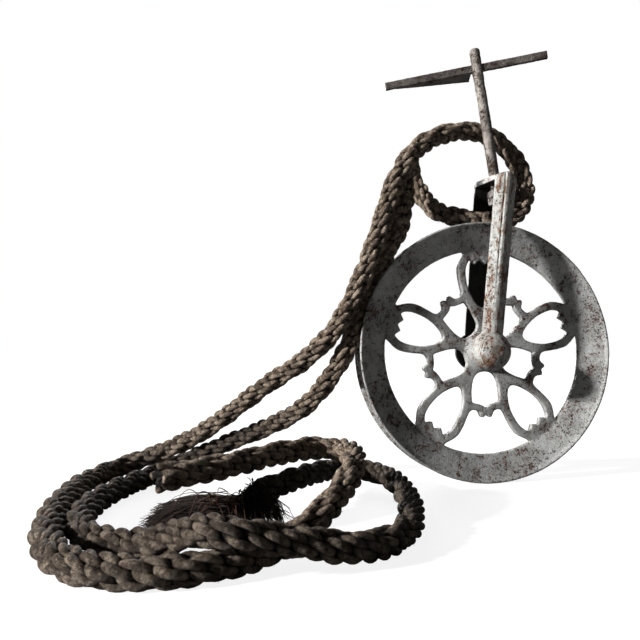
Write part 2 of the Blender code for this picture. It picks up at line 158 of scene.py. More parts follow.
def add_camera():
    """The photograph's view: low, in front of the rope, looking slightly up and to the right."""
    data = bpy.data.cameras.new("camera")
    data.lens = CAMERA_LENS
    data.sensor_width = 36.0
    camera = bpy.data.objects.new("camera", data)
    camera.matrix_world = (Matrix.Translation(CAMERA_AT) @ Matrix.Rotation(-CAMERA_YAW, 4, "Z")
                           @ Matrix.Rotation(math.pi / 2 + CAMERA_PITCH, 4, "X")
                           @ Matrix.Rotation(CAMERA_ROLL, 4, "Z"))
    bpy.context.scene.collection.objects.link(camera)
    bpy.context.scene.camera = camera


add_camera()

# ---------------------------------------------------------------- node helpers


class Graph:
    """A material's node tree, with short ways to add and join its nodes."""

    def __init__(self, name):
        self.material = bpy.data.materials.new(name)
        self.material.use_nodes = True
        self.tree = self.material.node_tree
        self.shader = self.tree.nodes["Principled BSDF"]

    def add(self, kind, **settings):
        """Add a node and set its properties."""
        node = self.tree.nodes.new(kind)
        for key, value in settings.items():
            setattr(node, key, value)
        return node

    def put(self, node, socket, value):
        """Feed an input from an output socket, or set it to a constant."""
        target = node.inputs[socket]
        if isinstance(value, bpy.types.NodeSocket):
            self.tree.links.new(value, target)
        else:
            target.default_value = value

    def place(self):
        """The piece's own object coordinates."""
        return self.add("ShaderNodeTexCoord").outputs["Object"]

    def noise(self, where, scale, detail=4.0, rough=0.55, distortion=0.0):
        """Fractal noise between 0 and 1."""
        node = self.add("ShaderNodeTexNoise")
        self.put(node, "Vector", where)
        self.put(node, "Scale", scale)
        self.put(node, "Detail", detail)
        self.put(node, "Roughness", rough)
        self.put(node, "Distortion", distortion)
        return node.outputs["Fac"]

    def cells(self, where, scale):
        """Distance to the nearest of many scattered points, for pits and chips."""
        node = self.add("ShaderNodeTexVoronoi")
        self.put(node, "Vector", where)
        self.put(node, "Scale", scale)
        return node.outputs["Distance"]

    def stretch(self, where, scale):
        """Coordinates stretched by a different factor on each axis."""
        node = self.add("ShaderNodeMapping")
        self.put(node, "Vector", where)
        self.put(node, "Scale", scale)
        return node.outputs["Vector"]

    def span(self, value, low, high, to_low=0.0, to_high=1.0):
        """Map a value's range onto another range, clamped, with a smooth step."""
        node = self.add("ShaderNodeMapRange", interpolation_type="SMOOTHSTEP")
        for key, number in (("Value", value), ("From Min", low), ("From Max", high),
                            ("To Min", to_low), ("To Max", to_high)):
            self.put(node, key, number)
        return node.outputs["Result"]

    def math(self, operation, first, second=0.0):
        """One arithmetic step."""
        node = self.add("ShaderNodeMath", operation=operation)
        self.put(node, 0, first)
        self.put(node, 1, second)
        return node.outputs[0]

    def mix(self, factor, first, second):
        """Mix two colours."""
        node = self.add("ShaderNodeMix", data_type="RGBA")
        self.put(node, 0, factor)
        self.put(node, 6, first if isinstance(first, bpy.types.NodeSocket) else (*first, 1.0))
        self.put(node, 7, second if isinstance(second, bpy.types.NodeSocket) else (*second, 1.0))
        return node.outputs[2]

    def bump(self, height, distance, normal=None):
        """Bump from a height, over an earlier bump if there is one."""
        node = self.add("ShaderNodeBump")
        self.put(node, "Height", height)
        self.put(node, "Distance", distance)
        if normal:
            self.put(node, "Normal", normal)
        return node.outputs["Normal"]


# Noise scales of the looks, in waves per metre, and the dark colours: the specks, the painted shade inside
# the yoke and the painted shade in the creases between the rope's threads.
BROAD_SCALE = 28.0
TONE_SCALE = 150.0
GRAIN_SCALE = 1100.0
BLOTCH_SCALE = 135.0
SPECK_SCALE = 520.0
PIT_SCALE = 300.0
DIRT_SCALE = 130.0
FLECK_SCALE = 620.0
FLICKER_SCALE = 300.0
SPECK_BLACK = (0.030, 0.021, 0.016)
INSIDE_SHADE_BLACK = (0.022, 0.019, 0.017)
THREAD_CREASE_SHADE = (0.010, 0.007, 0.005)


def iron(name, light, grey, rust, rust_share, metallic, specks=0.5, streak=(1, 1, 1), patch=None,
         inside_shade=None):
    """Weathered iron: pale worn metal mottled with grey, ragged rust, dark specks and small pits."""
    g = Graph(name)
    here = g.place()
    broad = g.noise(here, BROAD_SCALE, 5.0, 0.6)
    tone = g.noise(here, TONE_SCALE, 8.0, 0.72)
    grain = g.noise(here, GRAIN_SCALE, 4.0, 0.7)
    blotch = g.noise(g.stretch(here, streak), BLOTCH_SCALE, 10.0, 0.76, 0.5)
    speck = g.noise(here, SPECK_SCALE, 5.0, 0.62)
    worn = g.mix(g.span(broad, 0.36, 0.64), grey, light)
    worn = g.mix(g.span(tone, 0.44, 0.70, 0.0, 0.5), worn, [c * 0.75 for c in grey])
    worn = g.mix(g.span(grain, 0.40, 0.75, 0.0, 0.3), worn, [c * 0.5 for c in grey])
    where = g.math("ADD", g.math("MULTIPLY", g.math("SUBTRACT", broad, 0.5), -0.35), blotch)
    edge = 0.66 - 0.26 * rust_share
    rusty = g.span(where, edge, edge + 0.09)
    if patch:
        centre, radius = patch
        gap = g.add("ShaderNodeVectorMath", operation="DISTANCE")
        g.put(gap, 0, here)
        g.put(gap, 1, centre)
        wander = g.math("MULTIPLY", g.math("SUBTRACT", speck, 0.5), radius)
        ragged = g.math("ADD", gap.outputs["Value"], wander)
        rusty = g.math("MAXIMUM", rusty, g.span(ragged, radius * 0.85, radius * 1.05, 1.0, 0.0))
    rust_colour = g.mix(g.span(speck, 0.4, 0.6), rust, [c * 0.33 for c in rust])
    colour = g.mix(g.math("MULTIPLY", rusty, g.span(speck, 0.25, 0.55, 0.45, 0.95)), worn, rust_colour)
    crowd = g.span(broad, 0.62, 0.38, 0.0, 0.06)
    dark = g.span(g.math("ADD", speck, crowd), 0.62, 0.69)
    pit = g.span(g.cells(here, PIT_SCALE), 0.14, 0.26, 1.0, 0.0)
    hole = g.math("MULTIPLY", pit, g.span(tone, 0.46, 0.56))
    dark = g.math("MAXIMUM", dark, hole)
    colour = g.mix(g.math("MULTIPLY", dark, specks), colour, SPECK_BLACK)
    # Painted shade: where the mask is one, the iron turns near black.
    if inside_shade:
        colour = g.mix(inside_shade(g, here), colour, INSIDE_SHADE_BLACK)
    g.put(g.shader, "Base Color", colour)
    g.shader.inputs["Metallic"].default_value = metallic
    rough = g.math("ADD", rusty, g.math("ADD", dark, g.math("MULTIPLY", grain, 0.5)))
    g.put(g.shader, "Roughness", g.span(rough, 0.0, 1.3, 0.44, 0.9))
    normal = g.bump(g.math("MULTIPLY", dark, -1.0), 0.0006)
    normal = g.bump(tone, 0.0012, normal)
    normal = g.bump(grain, 0.0003, normal)
    g.put(g.shader, "Normal", normal)
    return g.material


def rope_material(name, shade):
    """Old rope: dark in the lay, from dirt and as painted shade; pale tan on the crowns, from wear and as
    painted highlight; fine twisted threads along each yarn, with painted shade in the creases between them.
    """
    g = Graph(name)
    here = g.place()
    crown = g.add("ShaderNodeAttribute", attribute_name="crown").outputs["Fac"]
    tint = g.add("ShaderNodeAttribute", attribute_name="tint").outputs["Fac"]
    along = g.add("ShaderNodeUVMap", uv_map="yarn").outputs["UV"]
    dirt = g.noise(here, DIRT_SCALE, 4.0, 0.6)
    fleck = g.noise(here, FLECK_SCALE, 5.0, 0.7)
    thread = g.add("ShaderNodeTexWave", wave_type="BANDS", bands_direction="DIAGONAL")
    g.put(thread, "Vector", along)
    g.put(thread, "Scale", THREADS * math.tau / 10)
    g.put(thread, "Distortion", 1.6)
    g.put(thread, "Detail", 3.0)
    g.put(thread, "Detail Scale", 2.0)
    strands = thread.outputs["Fac"]
    pale = g.mix(g.span(dirt, 0.42, 0.58), shade["crown"], shade["crown_low"])
    base = g.mix(g.span(dirt, 0.4, 0.62), shade["lay"], shade["lay_low"])
    pale = g.mix(tint, base, pale)
    # Painted shade and highlight: points near the rope's axis take the dark lay colours, points far out on
    # the crowns take the pale ones.
    show = g.math("MULTIPLY", g.span(crown, 0.56, 0.90), g.span(fleck, 0.34, 0.6, 0.4, 1.0))
    colour = g.mix(show, base, pale)
    # Painted shade: the creases between the threads are turned nearly black.
    colour = g.mix(g.span(strands, 0.0, 0.45, 0.5, 0.0), colour, THREAD_CREASE_SHADE)
    g.put(g.shader, "Base Color", colour)
    g.shader.inputs["Roughness"].default_value = 0.6
    g.shader.inputs["Specular IOR Level"].default_value = 0.4
    normal = g.bump(strands, 0.0020)
    normal = g.bump(fleck, 0.0010, normal)
    g.put(g.shader, "Normal", normal)
    return g.material


def fibre_material(name, dark, light):
    """Loose fibre, each one a little lighter or darker along its length."""
    g = Graph(name)
    here = g.place()
    tint = g.add("ShaderNodeAttribute", attribute_name="tint").outputs["Fac"]
    flicker = g.noise(here, FLICKER_SCALE, 4.0, 0.6)
    share = g.math("MULTIPLY", tint, g.span(flicker, 0.3, 0.7, 0.4, 1.0))
    g.put(g.shader, "Base Color", g.mix(share, dark, light))
    g.shader.inputs["Roughness"].default_value = 0.85
    g.put(g.shader, "Normal", g.bump(flicker, 0.0002))
    return g.material


# ---------------------------------------------------------------- mesh helpers


def add_object(name, mesh, look=None):
    """Link a smooth mesh as an object of the scene, with one material if a look is given."""
    made = bpy.data.objects.new(name, mesh)
    bpy.context.scene.collection.objects.link(made)
    if look:
        mesh.materials.clear()
        mesh.materials.append(look)
    mesh.shade_smooth()
    return made


def applied(made):
    """Replace an object's modifiers by the mesh that they make."""
    bpy.context.view_layer.update()
    mesh = bpy.data.meshes.new_from_object(made.evaluated_get(bpy.context.evaluated_depsgraph_get()))
    old = made.data
    made.modifiers.clear()
    made.data = mesh
    if old.users == 0:
        bpy.data.meshes.remove(old)
    return made


def weathered(made, voxel, smoothing, dents):
    """Fuse overlapping forms by voxel remesh, soften the edges and roughen the skin in geometry."""
    remesh = made.modifiers.new("fuse", "REMESH")
    remesh.mode = "VOXEL"
    remesh.voxel_size = voxel
    soften = made.modifiers.new("soften", "SMOOTH")
    soften.factor = 0.5
    soften.iterations = smoothing
    for name, size, strength in dents:
        texture = bpy.data.textures.new(name, "CLOUDS")
        texture.noise_scale = size
        texture.noise_depth = 3
        rough = made.modifiers.new(name, "DISPLACE")
        rough.texture = texture
        rough.texture_coords = "LOCAL"
        rough.strength = strength
        rough.mid_level = 0.5
    applied(made)
    made.data.shade_smooth()
    return made


def lathe(shape, profile, steps, place=Matrix.Identity(4)):
    """Add a surface of revolution to a bmesh: a closed ring profile, or one that ends on the axis."""
    rings = []
    for k in range(steps):
        turn = math.tau * k / steps
        rings.append([shape.verts.new(place @ Vector((r * math.cos(turn), r * math.sin(turn), z)))
                      for r, z in profile])
    for k in range(steps):
        here, after = rings[k], rings[(k + 1) % steps]
        for a in range(len(profile)):
            b = (a + 1) % len(profile)
            if profile[a][0] == 0 and profile[b][0] == 0:
                continue
            shape.faces.new((here[a], here[b], after[b], after[a]))
    bmesh.ops.remove_doubles(shape, verts=shape.verts, dist=0.000002)


def finished(name, shape):
    """A bmesh as a mesh, with its faces turned outwards."""
    bmesh.ops.recalc_face_normals(shape, faces=shape.faces)
    mesh = bpy.data.meshes.new(name)
    shape.to_mesh(mesh)
    shape.free()
    return mesh


def box_into(shape, low, high, place=Matrix.Identity(4)):
    """Add a closed box between two corners."""
    low, high = Vector(low), Vector(high)
    size = Matrix.Diagonal((*(high - low), 1.0))
    bmesh.ops.create_cube(shape, size=1.0, matrix=place @ Matrix.Translation((low + high) / 2) @ size)


# ---------------------------------------------------------------- rope


def smooth_route(points):
    """A centripetal Catmull-Rom curve through the points, as a dense array."""
    points = [Vector(p) for p in points]
    points = [points[0] * 2 - points[1]] + points + [points[-1] * 2 - points[-2]]
    dense = []
    for p0, p1, p2, p3 in zip(points, points[1:], points[2:], points[3:]):
        t1 = (p1 - p0).length ** 0.5
        t2 = t1 + (p2 - p1).length ** 0.5
        t3 = t2 + (p3 - p2).length ** 0.5
        for step in range(SPAN_STEPS):
            t = t1 + (t2 - t1) * step / SPAN_STEPS
            a1 = p0.lerp(p1, t / t1)
            a2 = p1.lerp(p2, (t - t1) / (t2 - t1))
            a3 = p2.lerp(p3, (t - t2) / (t3 - t2))
            dense.append(a1.lerp(a2, t / t2).lerp(a2.lerp(a3, (t - t1) / (t3 - t1)), (t - t1) / (t2 - t1)))
    return np.array([*dense, points[-2]])


def spaced(line, step):
    """The same line with evenly spaced points."""
    travelled = np.concatenate([[0.0], np.cumsum(np.linalg.norm(np.diff(line, axis=0), axis=1))])
    marks = np.linspace(0.0, travelled[-1], round(travelled[-1] / step) + 1)
    return np.stack([np.interp(marks, travelled, line[:, k]) for k in range(3)], axis=1)


def unit(vectors):
    """Vectors scaled to length one."""
    return vectors / np.maximum(np.linalg.norm(vectors, axis=-1, keepdims=True), 1e-12)


def carried_frame(line):
    """Tangent, normal and binormal along a line, carried along without twist."""
    tangent = unit(np.gradient(line, axis=0))
    normal = np.zeros_like(line)
    start = np.cross(tangent[0], (0.0, 0.0, 1.0))
    normal[0] = start / np.linalg.norm(start)
    for k in range(1, len(line)):
        kept = normal[k - 1] - tangent[k] * np.dot(normal[k - 1], tangent[k])
        normal[k] = kept / np.linalg.norm(kept)
    return tangent, normal, np.cross(tangent, normal)


def wavy(marks, rng, size, amount):
    """Smooth random wander along a line, from a few sines."""
    total = np.zeros_like(marks)
    for k in range(4):
        total += np.sin(marks * math.tau / (size * (0.6 + 0.5 * k)) + rng.uniform(0, math.tau)) / (k + 1)
    return total * amount / 2


def tube(line, radius, sides, normal):
    """Rings of points round a line. The normal is any direction off the line."""
    tangent = unit(np.gradient(line, axis=0))
    across = unit(normal - tangent * np.sum(normal * tangent, axis=1, keepdims=True))
    other = np.cross(tangent, across)
    turn = np.arange(sides) * math.tau / sides
    ring = across[:, None] * np.cos(turn)[None, :, None] + other[:, None] * np.sin(turn)[None, :, None]
    return line[:, None] + ring * radius[:, None, None]


def yarn_quads(count, first):
    """The quads of a yarn's skin, for a number of rings that start at a given vertex."""
    k = np.arange(count - 1)[:, None] * YARN_SIDES
    a = np.arange(YARN_SIDES)[None, :]
    b = (a + 1) % YARN_SIDES
    quads = np.stack([k + a, k + b, k + YARN_SIDES + b, k + YARN_SIDES + a], axis=-1)
    return quads.reshape(-1, 4) + first


def yarn_corners(marks):
    """The UV corners of those quads: round the yarn in U and along it in V."""
    shape = (len(marks) - 1, YARN_SIDES)
    u = np.broadcast_to(np.arange(YARN_SIDES)[None, :] / YARN_SIDES, shape)
    v = np.broadcast_to(marks[:-1, None], shape) / YARN_UV_LENGTH
    du = 1 / YARN_SIDES
    dv = (marks[1] - marks[0]) / YARN_UV_LENGTH
    corners = [(u, v), (u + du, v), (u + du, v + dv), (u, v + dv)]
    return np.stack([np.stack(corner, -1) for corner in corners], axis=2).reshape(-1, 2)


def attributed_mesh(name, verts, faces, **attributes):
    """A mesh from blocks of vertices, with number attributes on its points."""
    mesh = bpy.data.meshes.new(name)
    mesh.from_pydata(np.concatenate(verts).tolist(), [], faces)
    for key, values in attributes.items():
        layer = mesh.attributes.new(key, "FLOAT", "POINT")
        layer.data.foreach_set("value", np.concatenate(values).astype(np.float32))
    return mesh


def rope_mesh(name, centre, phase, tint_at):
    """A laid rope: strands round the centre line, each of yarns twisted the other way."""
    rng = np.random.default_rng(int(phase * 100) + 7)
    _, normal, binormal = carried_frame(centre)
    marks = np.arange(len(centre)) * np.linalg.norm(centre[1] - centre[0])
    verts, faces, crown, tint, yarn_uv = [], [], [], [], []
    tone = tint_at(marks)
    swell = np.interp(centre[:, 0], SWELL_X, SWELL)
    for strand in range(STRANDS):
        turn = marks * math.tau / STRAND_LAY + math.tau * strand / STRANDS + phase
        turn = turn + wavy(marks, rng, 0.11, 0.10)
        outward = normal * np.cos(turn)[:, None] + binormal * np.sin(turn)[:, None]
        ring = STRAND_RING + wavy(marks, rng, 0.09, 0.00025)
        middle = centre + outward * (ring * swell)[:, None]
        heading = unit(np.gradient(middle, axis=0))
        off = unit(outward - heading * np.sum(outward * heading, axis=1, keepdims=True))
        side = np.cross(heading, off)
        for yarn in range(YARNS):
            spin = -marks * math.tau / YARN_LAY + math.tau * yarn / YARNS + rng.uniform(-0.2, 0.2)
            spin = spin + wavy(marks, rng, 0.07, 0.16)
            spread = YARN_RING + wavy(marks, rng, 0.05, 0.00022)
            away = off * np.cos(spin)[:, None] + side * np.sin(spin)[:, None]
            line = middle + away * (spread * swell)[:, None]
            radius = YARN_R + wavy(marks, rng, 0.035, 0.00022)
            rings = tube(line, radius * swell, YARN_SIDES, away)
            rings[..., 2] = np.maximum(rings[..., 2], ROPE_FLOOR)
            faces.append(yarn_quads(len(line), sum(len(block) for block in verts)))
            flat = rings.reshape(-1, 3)
            verts.append(flat)
            # How far out from the rope's axis each point lies; the material turns this into painted shade
            # inside and painted highlight outside.
            distance = np.linalg.norm(flat - np.repeat(centre, YARN_SIDES, axis=0), axis=1)
            crown.append(np.clip((distance - CROWN_FROM) / (ROPE_D / 2 - CROWN_FROM), 0.0, 1.0))
            tint.append(np.repeat(tone * rng.uniform(0.75, 1.1), YARN_SIDES))
            yarn_uv.append(yarn_corners(marks))
    ends = []
    first = 0
    for block in verts:
        ends.append(list(range(first + YARN_SIDES - 1, first - 1, -1)))
        ends.append(list(range(first + len(block) - YARN_SIDES, first + len(block))))
        first += len(block)
    mesh = attributed_mesh(name, verts, np.concatenate(faces).tolist() + ends, crown=crown, tint=tint)
    uv = mesh.uv_layers.new(name="yarn")
    loops = np.concatenate(yarn_uv).astype(np.float32)
    padded = np.zeros((len(mesh.loops), 2), np.float32)
    padded[:len(loops)] = loops
    uv.data.foreach_set("uv", padded.ravel())
    return mesh


def fibres_mesh(name, lines, radii, tints, sides=4):
    """Many thin tapering fibres as one mesh."""
    verts, faces, tint = [], [], []
    first = 0
    for line, radius, tone in zip(lines, radii, tints):
        line = np.asarray(line)
        taper = np.linspace(1.0, FIBRE_TIP_SHARE, len(line)) * radius
        heading = unit(np.gradient(line, axis=0))
        off = np.cross(heading, (0.31, 0.2, 0.93))
        rings = tube(line, taper, sides, off).reshape(-1, 3)
        verts.append(rings)
        tint.append(np.full(len(rings), tone))
        for k in range(len(line) - 1):
            for a in range(sides):
                b = (a + 1) % sides
                low = first + k * sides
                faces.append((low + a, low + b, low + sides + b, low + sides + a))
        faces.append(tuple(range(first + sides - 1, first - 1, -1)))
        faces.append(tuple(range(first + len(rings) - sides, first + len(rings))))
        first += len(rings)
    return attributed_mesh(name, verts, faces, tint=tint)


def stray_fibres(name, centre, seed):
    """Short broken fibres that stand out of a rope's surface."""
    rng = np.random.default_rng(seed)
    tangent, normal, binormal = carried_frame(centre)
    lines, radii, tints = [], [], []
    for _ in range(STRAY_COUNT):
        k = rng.integers(2, len(centre) - 2)
        turn = rng.uniform(0, math.tau)
        out = normal[k] * math.cos(turn) + binormal[k] * math.sin(turn)
        along = tangent[k] * rng.choice((-1, 1))
        length = rng.uniform(*STRAY_LENGTH)
        rise = rng.uniform(*STRAY_RISE)
        start = centre[k] + out * (ROPE_D / 2 - STRAY_ROOT)
        steps = np.linspace(0, 1, 5)[:, None]
        curl = np.cross(out, along) * rng.uniform(-0.4, 0.4)
        line = start + (along * (1 - rise) + out * rise + curl * steps) * steps * length
        line[:, 2] = np.maximum(line[:, 2], STRAY_FLOOR)
        lines.append(line)
        radii.append(rng.uniform(*STRAY_R))
        tints.append(rng.uniform(0.1, 1.0))
    return fibres_mesh(name, lines, radii, tints, 3)


def run_line(side, run):
    """A run's centre line, from its place in the groove."""
    start = ROPE_START + Vector((side * ROPE_GAP_HALF, 0, 0))
    lead = start + Vector((side * ROPE_LEAD, 0, 0))
    return spaced(smooth_route([start, lead, *run]), ROPE_PITCH)


def blunt_tint(marks):
    """Paler over the top loop and the pair of runs beside the wheel, palest at the blunt end: partly the
    rope's own paler tone, partly painted light that brightens these runs.
    """
    return np.interp(marks / marks[-1], [0, 0.1, 0.2, 0.36, 0.45, 0.62, 0.78, 0.85, 1.0],
                     [0.8, 1.3, 2.2, 2.2, 0.6, 0.62, 0.8, 2.6, 2.6])


def frayed_tint(marks):
    """Pale beside the wheel, partly as painted light, blackened along the floor and round the right loop."""
    return np.interp(marks / marks[-1], [0, 0.12, 0.24, 0.34, 0.45, 0.6, 0.7, 0.78, 0.9, 1.0],
                     [0.9, 1.6, 1.5, 0.45, 0.26, 0.55, 0.62, 0.42, 0.26, 0.2])


# Lay colours are dark for dirt and as painted shade; crown colours are pale for wear and as painted
# highlight.
BROWN = {"crown": (1.0, 0.82, 0.64), "crown_low": (0.38, 0.285, 0.21),
         "lay": (0.034, 0.024, 0.017), "lay_low": (0.012, 0.009, 0.0075)}
rope_look = rope_material("old_rope", BROWN)
fibre_look = fibre_material("loose_fibre", (0.012, 0.009, 0.007), (0.16, 0.11, 0.075))


def laid_run(node, side, run, phase, tint_at, seed):
    """A run of rope with its stray fibres: the centre line, the rope and the fibres."""
    line = run_line(side, run)
    laid = add_object(node + "_laid", rope_mesh(node + "_laid", line, phase, tint_at), rope_look)
    hairs = add_object(node + "_hairs", stray_fibres(node + "_hairs", line, seed), fibre_look)
    return line, laid, hairs


blunt_line, blunt_run, blunt_hair = laid_run("rope_blunt_run", 1, BLUNT_RUN, BLUNT_PHASE, blunt_tint, 11)
frayed_line, frayed_run, frayed_hair = laid_run("rope_frayed_run", -1, FRAYED_RUN, FRAYED_PHASE,
                                                frayed_tint, 12)

FRAY_SEED = 5
TUFT_FIBRES = 560
BROOM_FIBRES = 640
PALE_HOOKS = 34
BROOM_ROOT = np.array([-0.300, -0.160, 0.020])
FRAY_FLOOR = 0.0009
HOOK_FLOOR = 0.0012
FIBRE_R = (0.0003, 0.0008)
HOOK_R = (0.0004, 0.0007)
UP = np.array([0, 0, 1.0])


def tuft_fibre(rng, end):
    """A short dark fibre that droops from the rope's end to the floor."""
    start = end + rng.normal(0, 0.0045, 3)
    angle = rng.uniform(0, math.tau)
    reach = rng.uniform(0.008, 0.026)
    aim = np.array([math.cos(angle) * reach + 0.002, math.sin(angle) * reach * 0.8 - 0.004, 0.0])
    steps = np.linspace(0, 1, 9)[:, None]
    drop = -UP * (end[2] - rng.uniform(0.001, 0.016))
    line = start + aim * steps + drop * steps ** 1.5
    return line + np.sin(steps * rng.uniform(4, 11) + rng.uniform(0, 6)) * rng.normal(0, 0.0028, 3) * steps


def broom_fibre(rng):
    """A long fibre of the broom, which fans out towards its tip along the floor."""
    start = BROOM_ROOT + rng.normal(0, 1, 3) * (0.009, 0.008, 0.004)
    share = rng.uniform(-1, 1)
    reach = rng.uniform(0.72, 1.0) if rng.uniform() < 0.55 else rng.uniform(0.92, 1.03)
    tip = np.array([-0.376 + 0.012 * abs(share) + rng.normal(0, 0.003), -0.139 + 0.033 * share, 0.0])
    tip = BROOM_ROOT + (tip - BROOM_ROOT) * reach
    tip[2] = 0.002 + 0.010 * max(share, 0) + rng.uniform(0, 0.006)
    steps = np.linspace(0, 1, 9)[:, None]
    hump = np.sin(steps * math.pi) * np.array([0, 0, rng.uniform(0.0, 0.009)])
    line = start * (1 - steps) + tip * steps + hump
    return line + np.sin(steps * rng.uniform(3, 8) + rng.uniform(0, 6)) * rng.normal(0, 0.0016, 3)


def pale_hook(rng):
    """A pale fibre that arches over the broom."""
    start = BROOM_ROOT + rng.normal(0, 1, 3) * (0.010, 0.007, 0.003) + np.array([-0.008, 0.0, 0.006])
    way = np.array([rng.uniform(-0.034, 0.016), rng.uniform(-0.030, 0.004), 0.0])
    steps = np.linspace(0, 1, 10)[:, None]
    line = start + way * steps + UP * (0.007 * np.sin(steps * 2.2) - 0.016 * steps ** 2)
    return line + np.sin(steps * rng.uniform(3, 6)) * rng.normal(0, 0.0025, 3)


def fray():
    """The unlaid end: a dark tuft that droops to the floor, and a broom of long fibres along it."""
    rng = np.random.default_rng(FRAY_SEED)
    end = frayed_line[-1]
    lines, radii, tints = [], [], []
    for count, make, low, radius, tint in (
            (TUFT_FIBRES, lambda: tuft_fibre(rng, end), FRAY_FLOOR, FIBRE_R, (0.0, 0.3)),
            (BROOM_FIBRES, lambda: broom_fibre(rng), FRAY_FLOOR, FIBRE_R, (0.0, 0.4)),
            (PALE_HOOKS, lambda: pale_hook(rng), HOOK_FLOOR, HOOK_R, (1.6, 3.2))):
        for _ in range(count):
            line = make()
            line[:, 2] = np.maximum(line[:, 2], low)
            lines.append(line)
            radii.append(rng.uniform(*radius))
            tints.append(rng.uniform(*tint))
    return fibres_mesh("rope_frayed_end_fibres", lines, radii, tints)


fray_look = fibre_material("frayed_fibre", (0.010, 0.007, 0.006), (0.15, 0.085, 0.060))
frayed_end = add_object("rope_frayed_end_fibres", fray(), fray_look)

for piece, node in ((blunt_run, "rope_blunt_run"), (frayed_run, "rope_frayed_run"),
                    (frayed_end, "rope_frayed_end"), (blunt_hair, None), (frayed_hair, None)):
    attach(piece, "yoke")
    if node:
        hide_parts(node)

# ---------------------------------------------------------------- wheel

LIP_OUTER_HALF = 0.0165
LIP_INNER_HALF = 0.013
GROOVE_R = 0.135
GROOVE_HALF = 0.005
INNER_RIM_R = 0.1214
INNER_RIM_HALF = 0.0044
WEB_HALF = 0.0038
WEB_EDGE_R = 0.1245
HUB_R = 0.0165
HUB_FOOT_R = 0.0235
HUB_HALF = 0.0195
HUB_BORE_R = 0.0071
PETALS = 5
PETAL_HALF = [(51.5, 0), (54, 5), (60, 9.8), (67, 13.6), (75, 16.8), (84, 18.6), (94, 19.3), (102, 18),
              (107.5, 14.8), (109.5, 13), (103.7, 6.5), (109.5, 0)]
HUB_WINDOW_HALF = [(23.8, 0), (25, 8), (29.5, 13), (36, 15.5), (46, 17), (60, 17), (61.5, 10), (63.5, 4),
                   (67, 0)]
RIM_WINDOW_HALF = [(74.5, 0), (78, 4), (77.5, 6.5), (70.5, 9), (68.5, 13), (69.1, 20.6), (81.4, 25.8),
                   (92.2, 31.4), (100, 37.7), (106.4, 52.6)]
RIM_WINDOW_R = 0.1206
RIM_WINDOW_ARC = 26.0
SHARP_CORNER = 0.45
WINDOW_TURN = math.radians(36)
WEB_STEPS = 120
WEB_HOLE_R = 0.012
WEB_HOLE_STEPS = 32
RIM_STEPS = 180
HUB_STEPS = 60
BOSS_STEPS = 64
DOME_RINGS = 12


def mirrored(half):
    """Close a half outline, given outwards from its middle line and back to it, in metres."""
    there = [(u / 1000, v / 1000) for u, v in half]
    return there + [(u, -v) for u, v in reversed(there) if v > 0]


def rim_window():
    """A window between two petals: the bridge, both petals' sides and an arc of the rim."""
    half = [(u / 1000, v / 1000) for u, v in RIM_WINDOW_HALF]
    arc = [math.radians(RIM_WINDOW_ARC * (1 - step / 6)) for step in range(13)]
    rim = [(RIM_WINDOW_R * math.cos(a), RIM_WINDOW_R * math.sin(a)) for a in arc]
    return half + rim + [(u, -v) for u, v in reversed(half[1:])]


def rounded(outline):
    """Cut an outline's corners twice, but keep those sharper than a right angle."""
    for _ in range(2):
        cut = []
        for k, here in enumerate(outline):
            before, after = Vector(outline[k - 1]), Vector(outline[(k + 1) % len(outline)])
            here = Vector(here)
            into, out = (here - before).normalized(), (after - here).normalized()
            if into.dot(out) < SHARP_CORNER:
                cut.append(tuple(here))
            else:
                cut += [tuple(here.lerp(before, 0.25)), tuple(here.lerp(after, 0.25))]
        outline = cut
    return outline


def web_mesh():
    """The pierced web as a flat plate."""
    def ring(radius, steps):
        return [(radius * math.cos(math.tau * k / steps), radius * math.sin(math.tau * k / steps))
                for k in range(steps)]

    outlines = [ring(WEB_EDGE_R, WEB_STEPS), ring(WEB_HOLE_R, WEB_HOLE_STEPS)]
    for petal in range(PETALS):
        petal_turn = math.tau * petal / PETALS + math.radians(90)
        window_turn = petal_turn + WINDOW_TURN
        for outline, turn in ((mirrored(PETAL_HALF), petal_turn), (mirrored(HUB_WINDOW_HALF), window_turn),
                              (rim_window(), window_turn)):
            c, s = math.cos(turn), math.sin(turn)
            outlines.append([(u * c - v * s, u * s + v * c) for u, v in rounded(outline)])
    flat = bpy.data.curves.new("web", "CURVE")
    flat.dimensions = "2D"
    flat.fill_mode = "BOTH"
    flat.extrude = WEB_HALF
    for outline in outlines:
        spline = flat.splines.new("POLY")
        spline.points.add(len(outline) - 1)
        for point, (x, y) in zip(spline.points, outline):
            point.co = (x, y, 0.0, 1.0)
        spline.use_cyclic_u = True
    holder = bpy.data.objects.new("web", flat)
    bpy.context.scene.collection.objects.link(holder)
    bpy.context.view_layer.update()
    mesh = bpy.data.meshes.new_from_object(holder.evaluated_get(bpy.context.evaluated_depsgraph_get()))
    bpy.data.objects.remove(holder, do_unlink=True)
    return mesh


